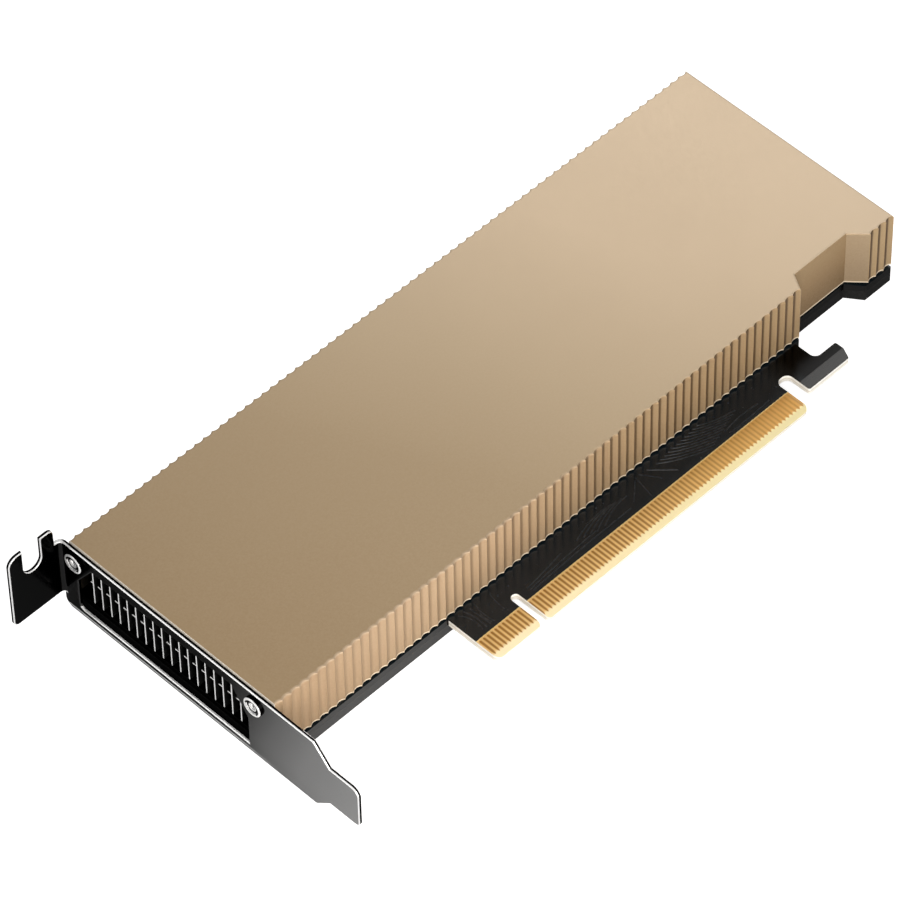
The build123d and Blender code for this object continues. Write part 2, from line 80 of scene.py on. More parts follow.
placeCamera()
print("camera placed")

# soft studio: each light has a place, a point it looks at, a size, a power and a colour
studio = {
    "worldColour": (1.0, 1.0, 1.0),
    "worldSeen": 1.0,    # what the camera sees round the card
    "worldStrength": 0.36,
    "worldInGloss": 0.36,    # what polished faces mirror
    "floorSize": 3.0,
    "floorCells": 6,
    "floorTone": 0.72,
    "floorRoughness": 0.9,
    "floorSpecular": 0.1,
    "floorGlow": 0.9,
    "floorInGloss": 0.30,
    "lights": {
        "farSoftbox": ((0.44, 0.40, 0.46), (0.07, 0.04, 0.0), (0.28, 0.28), 0.75, (1.0, 0.985, 0.96)),
        "frontSoftbox": ((-0.12, -0.21, 0.09), (-0.03, 0.02, 0.0), (0.20, 0.16), 0.75, (1.0, 0.97, 0.93)),
        "bracketPanel": ((-0.52, 0.31, 0.27), (-0.057, 0.03, 0.0), (0.40, 0.40), 0.75, (1.0, 1.0, 1.0)),
        "earPanel": ((0.16, -0.31, 0.24), (-0.063, 0.07, 0.01), (0.20, 0.20), 0.14, (1.0, 1.0, 1.0)),
        "overhead": ((-0.05, 0.05, 0.9), (0.02, 0.03, 0.0), (0.5, 0.5), 0.10, (1.0, 1.0, 1.0)),
    },
}


def glowByRay(tree, camera, gloss, other, socket):
    rays = tree.nodes.new("ShaderNodeLightPath")
    terms = []
    for ray, value in (("Is Camera Ray", camera - other), ("Is Glossy Ray", gloss - other)):
        part = tree.nodes.new("ShaderNodeMath")
        part.operation = "MULTIPLY"
        part.inputs[1].default_value = value
        tree.links.new(rays.outputs[ray], part.inputs[0])
        terms.append(part)
    first = tree.nodes.new("ShaderNodeMath")
    first.operation = "ADD"
    second = tree.nodes.new("ShaderNodeMath")
    second.operation = "ADD"
    second.inputs[1].default_value = other
    tree.links.new(terms[0].outputs["Value"], first.inputs[0])
    tree.links.new(terms[1].outputs["Value"], first.inputs[1])
    tree.links.new(first.outputs["Value"], second.inputs[0])
    tree.links.new(second.outputs["Value"], socket)


def makeAir(scene):
    look = studio
    world = bpy.data.worlds.new("studioAir")
    world.use_nodes = True
    air = world.node_tree.nodes["Background"]
    air.inputs["Color"].default_value = (*look["worldColour"], 1)
    glowByRay(world.node_tree, look["worldSeen"], look["worldInGloss"], look["worldStrength"],
              air.inputs["Strength"])
    scene.world = world


def makeFloor(scene):
    look = studio
    floorMesh = bpy.data.meshes.new("paleFloor")
    net = bmesh.new()
    cells = look["floorCells"]
    bmesh.ops.create_grid(net, x_segments=cells, y_segments=cells, size=look["floorSize"] / 2)
    net.to_mesh(floorMesh)
    net.free()
    floor = bpy.data.objects.new("paleFloor", floorMesh)
    floor.location.z = cadBox[0].z
    scene.collection.objects.link(floor)
    paper = bpy.data.materials.new("palePaper")
    paper.use_nodes = True
    shader = paper.node_tree.nodes["Principled BSDF"]
    tone = look["floorTone"]
    shader.inputs["Base Color"].default_value = (tone, tone, tone, 1)
    shader.inputs["Roughness"].default_value = look["floorRoughness"]
    shader.inputs["Specular IOR Level"].default_value = look["floorSpecular"]
    shader.inputs["Emission Color"].default_value = (1, 1, 1, 1)
    glowByRay(paper.node_tree, look["floorGlow"], look["floorInGloss"], 0.0,
              shader.inputs["Emission Strength"])
    floorMesh.materials.append(paper)


def hangLights(scene):
    for name, (place, target, size, power, colour) in studio["lights"].items():
        lamp = bpy.data.lights.new(name, "AREA")
        lamp.shape = "RECTANGLE"
        lamp.size, lamp.size_y = size
        lamp.energy = power
        lamp.color = colour
        holder = bpy.data.objects.new(name, lamp)
        holder.location = place
        aim = Vector(target) - Vector(place)
        holder.rotation_euler = aim.to_track_quat("-Z", "Y").to_euler()
        scene.collection.objects.link(holder)


def makeStudio():
    scene = bpy.context.scene
    scene.view_settings.view_transform = "Standard"
    scene.view_settings.look = "None"
    makeAir(scene)
    makeFloor(scene)
    hangLights(scene)


makeStudio()
print("studio lit")


# helpers for the finishes: places come in millimetres on the card
def newFinish(name, colour, metallic, roughness, specular=0.5):
    finish = bpy.data.materials.new(name)
    finish.use_nodes = True
    shader = finish.node_tree.nodes["Principled BSDF"]
    shader.inputs["Base Color"].default_value = (*colour, 1)
    shader.inputs["Metallic"].default_value = metallic
    shader.inputs["Roughness"].default_value = roughness
    shader.inputs["Specular IOR Level"].default_value = specular
    finish.diffuse_color = (*colour, 1)
    return finish


def grey(value):
    return (value, value, value)


def node(finish, kind, **settings):
    made = finish.node_tree.nodes.new(kind)
    for key, value in settings.items():
        setattr(made, key, value)
    return made


def wire(finish, start, end):
    finish.node_tree.links.new(start, end)


def shaderOf(finish):
    return finish.node_tree.nodes["Principled BSDF"]


def cardPlaces(finish):
    spot = node(finish, "ShaderNodeTexCoord")
    scaled = node(finish, "ShaderNodeVectorMath", operation="SCALE")
    scaled.inputs["Scale"].default_value = 1 / mm
    split = node(finish, "ShaderNodeSeparateXYZ")
    wire(finish, spot.outputs["Object"], scaled.inputs[0])
    wire(finish, scaled.outputs["Vector"], split.inputs["Vector"])
    return scaled.outputs["Vector"], split.outputs["X"], split.outputs["Y"], split.outputs["Z"]


def faceDirection(finish):
    facing = node(finish, "ShaderNodeNewGeometry")
    split = node(finish, "ShaderNodeSeparateXYZ")
    wire(finish, facing.outputs["True Normal"], split.inputs["Vector"])
    return split.outputs["X"], split.outputs["Y"], split.outputs["Z"]


def grain(finish, where, scale, detail=3.0, stretch=(1, 1, 1)):
    squeeze = node(finish, "ShaderNodeMapping")
    squeeze.inputs["Scale"].default_value = stretch
    noise = node(finish, "ShaderNodeTexNoise")
    noise.inputs["Scale"].default_value = scale
    noise.inputs["Detail"].default_value = detail
    wire(finish, where, squeeze.inputs["Vector"])
    wire(finish, squeeze.outputs["Vector"], noise.inputs["Vector"])
    return noise.outputs["Fac"]


def ramp(finish, value, low, high, lowTo=0.0, highTo=1.0):
    made = node(finish, "ShaderNodeMapRange")
    made.inputs["From Min"].default_value = low
    made.inputs["From Max"].default_value = high
    made.inputs["To Min"].default_value = lowTo
    made.inputs["To Max"].default_value = highTo
    wire(finish, value, made.inputs["Value"])
    return made.outputs["Result"]


def sums(finish, operation, first, second=0.0):
    made = node(finish, "ShaderNodeMath", operation=operation)
    for socket, value in zip(made.inputs, (first, second)):
        if isinstance(value, (int, float)):
            socket.default_value = value
        else:
            wire(finish, value, socket)
    return made.outputs["Value"]


def plus(finish, first, second):
    return sums(finish, "ADD", first, second)


def minus(finish, first, second):
    return sums(finish, "SUBTRACT", first, second)


def both(finish, *shares):
    product = shares[0]
    for share in shares[1:]:
        product = sums(finish, "MULTIPLY", product, share)
    return product


def either(finish, *shares):
    most = shares[0]
    for share in shares[1:]:
        most = sums(finish, "MAXIMUM", most, share)
    return most


def opposite(finish, share):
    return minus(finish, 1.0, share)


def above(finish, value, limit):
    return sums(finish, "GREATER_THAN", value, limit)


def below(finish, value, limit):
    return sums(finish, "LESS_THAN", value, limit)


def between(finish, value, low, high):
    return both(finish, above(finish, value, low), below(finish, value, high))


def size(finish, value):
    return sums(finish, "ABSOLUTE", value)


def blendTones(finish, share, first, second):
    made = node(finish, "ShaderNodeMix", data_type="RGBA")
    wire(finish, share, made.inputs["Factor"])
    for socket, value in ((made.inputs[6], first), (made.inputs[7], second)):    # the two colour sockets
        if isinstance(value, tuple):
            socket.default_value = (*value, 1)
        else:
            wire(finish, value, socket)
    return made.outputs[2]


def tonesAlong(finish, value, marks):
    low, high = marks[0][0], marks[-1][0]
    made = node(finish, "ShaderNodeValToRGB")
    elements = made.color_ramp.elements
    elements[0].color = (*marks[0][1], 1)
    elements[1].color = (*marks[-1][1], 1)
    for spot, tone in marks[1:-1]:
        elements.new((spot - low) / (high - low)).color = (*tone, 1)
    wire(finish, ramp(finish, value, low, high), made.inputs["Fac"])
    return made.outputs["Color"]


def speckle(finish, tone, fine, share, colour):
    return blendTones(finish, ramp(finish, fine, *share), tone, colour)


def colourWith(finish, tone):
    wire(finish, tone, shaderOf(finish).inputs["Base Color"])


def metalWith(finish, share, plain, full):
    wire(finish, ramp(finish, share, 0.0, 1.0, plain, full), shaderOf(finish).inputs["Metallic"])


def roughWith(finish, fine, share):
    wire(finish, ramp(finish, fine, *share), shaderOf(finish).inputs["Roughness"])


def tintOf(finish, tint):
    shaderOf(finish).inputs["Specular Tint"].default_value = (*grey(tint), 1)


def relief(finish, height, strength, depth):
    bump = node(finish, "ShaderNodeBump")
    bump.inputs["Strength"].default_value = strength
    bump.inputs["Distance"].default_value = depth * mm
    wire(finish, height, bump.inputs["Height"])
    wire(finish, bump.outputs["Normal"], shaderOf(finish).inputs["Normal"])


def dress(finish, *names):
    for name in names:
        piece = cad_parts[name]
        piece.data.materials.clear()
        piece.data.materials.append(finish)


# In each look, tones and marks are places in millimetres with the colour there.
# A grain is a scale and a detail, and a relief is a strength and a depth in millimetres.
# A fade, shade, share or depth gives two places or grain values, then its worth at each, 0 and 1 if unsaid.
# A facing says how far a face has to lean towards an axis, from -1 to 1.

# cover: anodised shell; its tones from the bracket's end to the far end are painted light and shade
coverLook = {
    # painted light: the top brightens from the bracket's end towards the far end, where the lamps fall
    "topPaintedLight": ((-50.0, (0.404, 0.284, 0.161)), (10.0, (0.491, 0.362, 0.222)),
                 (40.0, (0.603, 0.463, 0.303)), (82.0, (0.782, 0.612, 0.426)),
                 (118.0, (0.856, 0.677, 0.482))),
    "topFromX": 8.2,
    "topSlant": 0.45,    # how much the top's painted light also runs towards the back
    "wallFacing": 0.5,
    # painted light and shade on the walls: brighter near the bracket, where the front lamp falls
    "wallPaintedLight": ((-57.0, (0.58, 0.390, 0.227)), (-46.0, (0.522, 0.355, 0.213)),
                  (-25.0, (0.565, 0.396, 0.248)), (-6.0, (0.58, 0.406, 0.251)), (5.0, (0.549, 0.380, 0.232)),
                  (16.0, (0.503, 0.349, 0.206)), (28.0, (0.456, 0.313, 0.179)), (40.0, (0.454, 0.311, 0.172)),
                  (55.0, (0.443, 0.302, 0.165)), (76.0, (0.461, 0.313, 0.167)),
                  (110.0, (0.528, 0.369, 0.203))),
    "wallShade": (2.0, 13.0, 0.0, 0.12),    # painted shade: the walls darken from foot to roof
    "wallDark": grey(0.0),
    # painted shade: the notch's wall darkens towards its foot, and its slope gets its own lit tone
    "notchX": (83.7, 103.5),
    "notchBackY": 25.0,
    "notchPaintedShade": ((0.6, (0.245, 0.155, 0.073)), (8.0, (0.345, 0.225, 0.112)), (14.8, (0.385, 0.262, 0.137))),
    "slopeFacing": -0.3,
    "slopePaintedLight": (0.425, 0.312, 0.195),
    # painted shade: the walls darken towards their foot, by the board
    "footShade": (12.0, 0.6, 0.0, 0.3),
    "footHighlight": (0.95, 0.878, 0.0, 0.85),    # painted highlight: a bright line along the walls' foot
    # the pale tone of the fine specks, and of the painted highlight along the foot
    "footHighlightAndSpeck": (0.95, 0.80, 0.60),
    # painted highlight: a pale line along the cover's near end
    "endHighlightX": -56.48,
    "endHighlightTone": (0.92, 0.84, 0.72),
    "firstArris": -57.0,
    "flutePitch": 2.2,
    "frontToY": 40.0,
    "arrisFade": (0.58, 0.42),    # shares of a flute between which the painted shade behind each arris ends
    # painted shade behind each arris, which grows towards the far end
    "arrisShadeTone": (0.085, 0.044, 0.015),
    "arrisShadeMarks": ((-57.0, grey(0.08)), (-15.0, grey(0.25)), (40.0, grey(0.85)), (110.0, grey(0.95))),
    # painted shade: the flute rims near the bracket are toned down, so their highlight stays faint
    "rimFacing": (0.2, 0.97),
    "rimShare": (40.0, 0.0, 0.0, 0.8),
    "rimTone": (0.46, 0.345, 0.235),
    # painted shade: inside the shell it is near black, and fully metal so it mirrors little
    "hollowY": (14.7, 67.45),
    "hollowTopZ": 13.7,
    "outerX": 78.0,    # from here on, the notch wall's outer side lies in the hollow's span
    "outerY": 21.0,
    "outerFacing": 0.3,
    "insideShadeTone": (0.012, 0.010, 0.008),
    "fineGrain": (2.6, 2.0),
    "fineShare": (0.3, 0.7, 0.0, 0.06),
    "broadGrain": (0.045, 2.0),
    "broadShare": (0.3, 0.7, 0.0, 0.05),
    "broadTone": (0.36, 0.25, 0.15),
    "metallic": 0.3,
    "roughness": 0.5,
    "roughShare": (0.25, 0.75, 0.45, 0.56),
    "specular": 0.25,
    "tint": 0.5,
    "relief": (0.12, 0.02),
}


def goldFinish():
    look = coverLook
    finish = newFinish("champagneGold", look["topPaintedLight"][1][1], look["metallic"], look["roughness"],
                       look["specular"])
    tintOf(finish, look["tint"])
    where, x, y, z = cardPlaces(finish)
    nx, ny, nz = faceDirection(finish)
    fine = grain(finish, where, *look["fineGrain"])
    broad = grain(finish, where, *look["broadGrain"])
    wall = below(finish, size(finish, nz), look["wallFacing"])
    inFront = below(finish, y, look["frontToY"])
    # painted light and shade: the top's and the walls' tones follow where the lamps fall
    along = plus(finish, minus(finish, x, look["topFromX"]), both(finish, y, look["topSlant"]))
    wallTone = blendTones(finish, ramp(finish, z, *look["wallShade"]),
                          tonesAlong(finish, x, look["wallPaintedLight"]), look["wallDark"])
    tone = blendTones(finish, wall, tonesAlong(finish, along, look["topPaintedLight"]), wallTone)
    # painted shade in the notch
    inNotch = between(finish, x, *look["notchX"])
    notchWall = both(finish, wall, inNotch, below(finish, y, look["notchBackY"]))
    notchTone = blendTones(finish, below(finish, nx, look["slopeFacing"]),
                           tonesAlong(finish, z, look["notchPaintedShade"]), look["slopePaintedLight"])
    tone = blendTones(finish, notchWall, tone, notchTone)
    # painted shade along the walls' foot
    footShade = both(finish, wall, ramp(finish, z, *look["footShade"]))
    tone = blendTones(finish, footShade, tone, look["arrisShadeTone"])
    # painted shade right behind each arris on the front wall
    flutes = sums(finish, "DIVIDE", minus(finish, x, look["firstArris"]), look["flutePitch"])
    shadeBehindArris = both(finish, ramp(finish, sums(finish, "FRACT", flutes), *look["arrisFade"]),
                       tonesAlong(finish, x, look["arrisShadeMarks"]),
                       both(finish, wall, inFront, opposite(finish, inNotch)))
    tone = blendTones(finish, shadeBehindArris, tone, look["arrisShadeTone"])
    # painted shade on the flute rims near the bracket
    rim = both(finish, between(finish, nz, *look["rimFacing"]), inFront, opposite(finish, inNotch),
               ramp(finish, x, *look["rimShare"]))
    tone = blendTones(finish, rim, tone, look["rimTone"])
    # painted shade inside the shell
    hollow = both(finish, between(finish, y, *look["hollowY"]), below(finish, z, look["hollowTopZ"]))
    notchOuter = both(finish, above(finish, x, look["outerX"]), below(finish, y, look["outerY"]),
                      below(finish, ny, look["outerFacing"]))
    inside = both(finish, hollow, opposite(finish, notchOuter))
    outside = opposite(finish, inside)
    tone = blendTones(finish, inside, tone, look["insideShadeTone"])
    tone = speckle(finish, tone, fine, look["fineShare"], look["footHighlightAndSpeck"])
    tone = speckle(finish, tone, broad, look["broadShare"], look["broadTone"])
    # painted highlight along the walls' foot
    footHighlight = both(finish, ramp(finish, z, *look["footHighlight"]), outside)
    tone = blendTones(finish, footHighlight, tone, look["footHighlightAndSpeck"])
    # painted highlight along the near end
    endHighlight = both(finish, below(finish, x, look["endHighlightX"]), outside)
    colourWith(finish, blendTones(finish, endHighlight, tone, look["endHighlightTone"]))
    metalWith(finish, inside, look["metallic"], 1.0)
    roughWith(finish, fine, look["roughShare"])
    relief(finish, fine, *look["relief"])
    return finish


dress(goldFinish(), "cover")
print("cover finished")

# contact edge: amber strips, brown wedges between them and a pale foot
edgeLook = {
    "amber": ((-13.0, (0.97, 0.67, 0.265)), (25.0, (0.97, 0.65, 0.240)), (52.0, (0.84, 0.49, 0.127)),
              (70.0, (0.81, 0.44, 0.104))),
    "amberShade": (0.3, 0.7, 0.10, 0.0),
    "halfPitch": 0.5,    # the contacts are 1 mm apart, with a wedge at each whole millimetre
    "wedge": (0.42, 0.185, 0.030),
    "wedgeRise": (0.95, 2.0, 0.0, 0.25),    # heights, and half the wedge's width at each
    "wedgeTop": (5.3, 5.5, 1.0, 0.0),
    "wedgeEdge": (-0.12, 0.08),    # how softly it ends, in millimetres
    "wedgeMarks": ((-13.0, grey(0.97)), (30.0, grey(0.92)), (52.0, grey(0.55)), (70.0, grey(0.30))),
    "pale": ((-13.0, (1.0, 0.82, 0.52)), (30.0, (1.0, 0.85, 0.49)), (70.0, (1.0, 0.87, 0.48))),
    "paleLean": 1.1,    # how far the pale foot climbs between the wedges
    "paleShare": (1.02, 1.30, 1.0, 0.0),
    "maskEdgeY": 5.82,
    "lip": 0.2,
    "lipTone": (1.0, 0.74, 0.31),
    "streaks": (3.0, 3.0, (1.0, 0.15, 1.0)),    # scale, detail and stretch
    "metallic": 0.45,
    "roughness": 0.34,
    "relief": (0.1, 0.01),
}


def edgeTones(finish, where, x, y):
    look = edgeLook
    shade = ramp(finish, grain(finish, where, *look["streaks"]), *look["amberShade"])
    tone = blendTones(finish, shade, tonesAlong(finish, x, look["amber"]), look["wedge"])
    fromMiddle = size(finish, minus(finish, sums(finish, "FRACT", x), look["halfPitch"]))
    fromWedge = minus(finish, look["halfPitch"], fromMiddle)
    reach = both(finish, ramp(finish, y, *look["wedgeRise"]), ramp(finish, y, *look["wedgeTop"]))
    inWedge = ramp(finish, minus(finish, reach, fromWedge), *look["wedgeEdge"])
    tone = blendTones(finish, both(finish, inWedge, tonesAlong(finish, x, look["wedgeMarks"])), tone,
                      look["wedge"])
    boundary = minus(finish, y, both(finish, fromWedge, look["paleLean"]))
    tone = blendTones(finish, ramp(finish, boundary, *look["paleShare"]), tone,
                      tonesAlong(finish, x, look["pale"]))
    return blendTones(finish, above(finish, y, look["maskEdgeY"] - look["lip"]), tone, look["lipTone"])


def contactFinish():
    look = edgeLook
    finish = newFinish("contactPlating", look["wedge"], look["metallic"], look["roughness"])
    where, x, y = cardPlaces(finish)[:3]
    colourWith(finish, edgeTones(finish, where, x, y))
    relief(finish, grain(finish, where, *look["streaks"]), *look["relief"])
    return finish


dress(contactFinish(), "contacts_component_side", "contacts_solder_side")
print("contacts finished")

# circuit board: satin black mask over cream laminate
boardLook = {
    "mask": (0.0022, 0.0078, 0.0128),
    "maskLight": (0.0068, 0.0126, 0.0181),
    "driftGrain": (0.35, 2.0),
    "driftShare": (0.35, 0.65),
    "fineGrain": (5.2, 3.0),
    "fineShare": (0.35, 0.75, 0.0, 0.5),
    "speckGrain": (2.3, 1.0),
    "speckShare": (0.73, 0.78, 0.0, 0.6),
    "speck": grey(0.05),
    "trace": (0.028, 0.033, 0.039),
    "traceGrain": (1.1, 2.0),
    "traceShare": (0.3, 0.7),
    "roughness": 0.22,
    "specular": 0.75,
    "tint": 0.5,
    "sideFacing": 0.3,
    "cutEdge": (1.0, 0.97, 0.90),
    "cutCore": (0.70, 0.62, 0.50),
    "coreFade": (0.12, 0.22, 0.6, 0.0),    # from the sheet's middle towards its faces
    "bodyFrontY": 13.0,
    # painted light and shade on the board's front edge: lighter near the bracket, darker towards the notch
    "rim": ((-57.0, grey(0.135)), (40.0, grey(0.085)), (82.0, grey(0.028)), (112.0, grey(0.024))),
    # painted shade: the board is near black behind the bracket's window
    "windowX": -50.0,
    "windowY": 19.0,
    "windowShadeTone": grey(0.003),
    # painted shade: the mask on the hook is darker than the rest of the board
    "hookFromX": 74.0,
    "hookFade": (72.0, 78.0),
    "hookShadeTone": grey(0.012),
    "relief": (0.08, 0.01),
    "traceRelief": (0.05, 0.01),
}


def maskTone(finish, where, fine):
    look = boardLook
    drift = grain(finish, where, *look["driftGrain"])
    tone = speckle(finish, look["mask"], drift, look["driftShare"], look["maskLight"])
    tone = speckle(finish, tone, fine, look["fineShare"], look["maskLight"])
    specks = grain(finish, where, *look["speckGrain"])
    return speckle(finish, tone, specks, look["speckShare"], look["speck"])


def boardFinish():
    look = boardLook
    finish = newFinish("boardMask", look["mask"], 0.0, look["roughness"], look["specular"])
    tintOf(finish, look["tint"])
    where, x, y, z = cardPlaces(finish)
    nz = faceDirection(finish)[2]
    low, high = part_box("circuit_board")
    fine = grain(finish, where, *look["fineGrain"])
    bare = both(finish, below(finish, x, look["hookFromX"]), below(finish, y, edgeLook["maskEdgeY"]))
    tone = blendTones(finish, bare, maskTone(finish, where, fine), edgeTones(finish, where, x, y))
    upright = below(finish, size(finish, nz), look["sideFacing"])
    faceUp = above(finish, nz, look["sideFacing"])
    fromMiddle = size(finish, minus(finish, z, (low.z + high.z) / 2 / mm))
    cut = blendTones(finish, ramp(finish, fromMiddle, *look["coreFade"]), look["cutEdge"], look["cutCore"])
    inTab = below(finish, y, look["bodyFrontY"])
    tone = blendTones(finish, both(finish, upright, inTab), tone, cut)
    # painted light and shade on the board's front edge
    rim = both(finish, upright, above(finish, y, look["bodyFrontY"]))
    tone = blendTones(finish, rim, tone, tonesAlong(finish, x, look["rim"]))
    # painted shade behind the bracket's window
    inWindow = both(finish, below(finish, x, look["windowX"]), above(finish, y, look["windowY"]))
    # painted shade on the hook's mask
    hook = both(finish, ramp(finish, x, *look["hookFade"]), inTab, faceUp)
    hookMask = both(finish, hook, above(finish, y, edgeLook["maskEdgeY"]))
    # the painted shade on the window, front edge and hook is metal, so no pale sheen lifts it
    wire(finish, either(finish, inWindow, rim, hookMask), shaderOf(finish).inputs["Metallic"])
    tone = blendTones(finish, both(finish, hook, opposite(finish, bare)), tone, look["hookShadeTone"])
    colourWith(finish, blendTones(finish, inWindow, tone, look["windowShadeTone"]))
    relief(finish, fine, *look["relief"])
    return finish


def traceFinish():
    look = boardLook
    finish = newFinish("tracedMask", look["trace"], 0.0, look["roughness"], look["specular"])
    tintOf(finish, look["tint"])
    fine = grain(finish, cardPlaces(finish)[0], *look["traceGrain"])
    colourWith(finish, speckle(finish, look["maskLight"], fine, look["traceShare"], look["trace"]))
    relief(finish, fine, *look["traceRelief"])
    return finish


dress(boardFinish(), "circuit_board")
print("board finished")

# copper lines under the mask: each fan runs between a first and a last line, places in millimetres
traceLook = {
    "width": 0.38,
    "flatPart": 0.8,    # how much of the width is flat
    "rise": 0.03,
    "sink": 0.02,
    "fans": (
        (((42.0, 11.6), (46.4, 8.9), (52.3, 6.5)), ((54.2, 12.6), (57.6, 11.0), (62.2, 9.9)), 11),
        (((17.8, 9.2), (22.4, 10.6), (27.6, 11.0)), ((23.6, 7.6), (28.0, 9.5), (32.4, 10.1)), 5),
        (((3.0, 7.9), (8.2, 8.5), (13.6, 9.3)), ((3.6, 6.7), (12.4, 7.2), (30.8, 7.4)), 3),
        (((-10.6, 12.6), (-9.4, 10.0), (-9.6, 6.8)), ((-6.4, 12.4), (-6.9, 9.6), (-6.6, 6.8)), 4),
    ),
    "lines": (
        ((39.6, 11.8), (41.8, 9.6), (43.9, 7.5)),
        ((37.7, 12.1), (39.0, 10.2), (40.2, 8.2)),
        ((36.7, 12.0), (36.2, 9.4), (35.6, 6.7)),
        ((32.1, 8.0), (34.3, 9.9), (36.2, 11.6)),
        ((56.8, 7.6), (61.5, 8.2), (66.4, 7.9)),
        ((57.2, 6.8), (62.0, 6.7), (68.6, 7.0)),
        ((-7.2, 10.2), (-7.4, 8.6), (-7.1, 7.0)),
        ((-2.4, 12.2), (-3.1, 10.6), (-3.3, 7.4)),
    ),
    "viaRadius": 0.26,
    "viaRings": ((1.0, -0.02), (0.9, 0.04), (0.45, 0.04), (0.4, 0.01)),    # share of the radius, and height
    "vias": ((60.7, 6.5), (57.1, 7.8), (51.2, 7.1), (49.0, 6.5), (62.6, 12.1), (58.0, 11.8), (8.0, 7.0),
             (9.3, 6.6), (1.1, 10.9), (-2.0, 10.6), (-9.6, 8.2), (26.1, 12.2), (27.9, 12.0), (44.3, 11.2),
             (46.8, 12.2), (53.4, 11.4), (71.9, 8.3)),
}


def bentLine(marks, parts):
    start, middle, end = (Vector((*spot, 0)) for spot in marks)
    pull = 2 * middle - (start + end) / 2    # so that the line passes through its middle mark
    steps = (i / parts for i in range(parts + 1))
    return [(1 - t) ** 2 * start + 2 * t * (1 - t) * pull + t * t * end for t in steps]


def layTrace(net, marks, parts=12):
    look = traceLook
    line = bentLine(marks, parts)
    top = look["flatPart"]
    section = ((1, -look["sink"]), (top, look["rise"]), (-top, look["rise"]), (-1, -look["sink"]))
    rows = []
    for i, spot in enumerate(line):
        ahead = (line[min(i + 1, parts)] - line[max(i - 1, 0)]).normalized()
        side = Vector((-ahead.y, ahead.x, 0)) * look["width"] / 2
        rows.append([net.verts.new(((spot.x + s * side.x) * mm, (spot.y + s * side.y) * mm, height * mm))
                     for s, height in section])
    corners = len(section)
    for first, second in zip(rows, rows[1:]):
        for i in range(corners):
            j = (i + 1) % corners
            net.faces.new((first[i], second[i], second[j], first[j]))
    net.faces.new(rows[0])
    net.faces.new(reversed(rows[-1]))


def layVia(net, spot, sides=16):
    look = traceLook
    turns = [math.tau * i / sides for i in range(sides)]
    rings = []
    for share, height in look["viaRings"]:
        reach = share * look["viaRadius"]
        rings.append([net.verts.new(((spot[0] + reach * math.cos(turn)) * mm,
                                     (spot[1] + reach * math.sin(turn)) * mm, height * mm))
                      for turn in turns])
    for lower, upper in zip(rings, rings[1:]):
        for i in range(sides):
            j = (i + 1) % sides
            net.faces.new((lower[i], lower[j], upper[j], upper[i]))
    net.faces.new(rings[-1])
    net.faces.new(reversed(rings[0]))


def addPiece(name, net, finish):
    bmesh.ops.recalc_face_normals(net, faces=net.faces)
    mesh = bpy.data.meshes.new(name)
    net.to_mesh(mesh)
    net.free()
    mesh.materials.append(finish)
    piece = bpy.data.objects.new(name, mesh)
    bpy.context.scene.collection.objects.link(piece)
    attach(piece, "root")


def makeTraces():
    net = bmesh.new()
    for first, last, count in traceLook["fans"]:
        for i in range(count):
            share = i / (count - 1)
            layTrace(net, [tuple(a + (b - a) * share for a, b in zip(*ends)) for ends in zip(first, last)])
    for marks in traceLook["lines"]:
        layTrace(net, marks)
    for spot in traceLook["vias"]:
        layVia(net, spot)
    addPiece("boardTraces", net, traceFinish())


makeTraces()
print("board traces laid")

# bracket: black mirror with a painted reflection that greys towards the tongue, and painted highlights on the
# bevels
bracketLook = {
    # painted reflection: the face greys from black near the ear to mid grey at the tongue
    "faceReflectionTones": ((-9.0, grey(0.335)), (-2.0, grey(0.32)), (8.0, grey(0.275)), (17.0, grey(0.175)),
                  (24.0, grey(0.062)), (31.0, grey(0.012)), (40.0, grey(0.006)), (71.0, grey(0.006))),
    "faceX": -59.0,
    "faceFacing": 0.97,
    "faceLean": 0.42,    # how much the face's painted reflection also runs upwards, from leanFromZ
    "leanFromZ": 1.0,
    "faceShift": 0.8,    # and how far all of them move along
    "edgeTone": grey(0.005),
    "fineGrain": (3.2, 2.0),
    "fineShare": (0.35, 0.8, 0.0, 0.07),
    "fineTone": grey(0.2),
    "footHighlight": (0.55, 1.0),    # heights over the foot between which the painted highlight runs
    "footHighlightShare": (12.0, 24.0, 0.0, 0.9),    # along y
    "footHighlightTone": grey(0.75),
    "earX": -58.8,
    "earFacing": 0.9,
    "earTone": grey(0.010),
    "bendX": -58.4,
    "bendY": 69.1,
    "bendFacing": 0.2,
    # painted reflection: a grey band down the bend
    "bendReflectionTone": grey(0.022),
    # painted highlight: bright bevels, less metal so they stay bright from every side
    "bevelFacing": (0.25, 0.96),
    "upFacing": 0.3,
    "bevelPaintedLight": grey(0.97),
    "bevelMetal": 0.35,
    "windowFromY": 10.0,
    "openingY": (14.0, 68.5),
    "openingZ": (-1.85, 13.0),
    # painted shade on the bevels inside the window
    "windowBevelShade": grey(0.05),
    "frontStripX": -57.10,    # a strip is the lit part of a top edge, painted as a highlight
    "windowStripX": -56.88,
    "rearX": -56.9,
    "rearStripX": -56.72,
    "rearStripY": 6.0,
    # painted highlight on the rear edge near the tongue
    "rearBevelHighlight": grey(0.85),
    "footHeight": 1.0,
    # painted shade on the foot's bevels
    "footBevelShade": grey(0.05),
    "roughness": 0.14,
    "roughShare": (0.2, 0.8, 0.11, 0.20),
    "tint": 0.5,
    "relief": (0.05, 0.01),
}


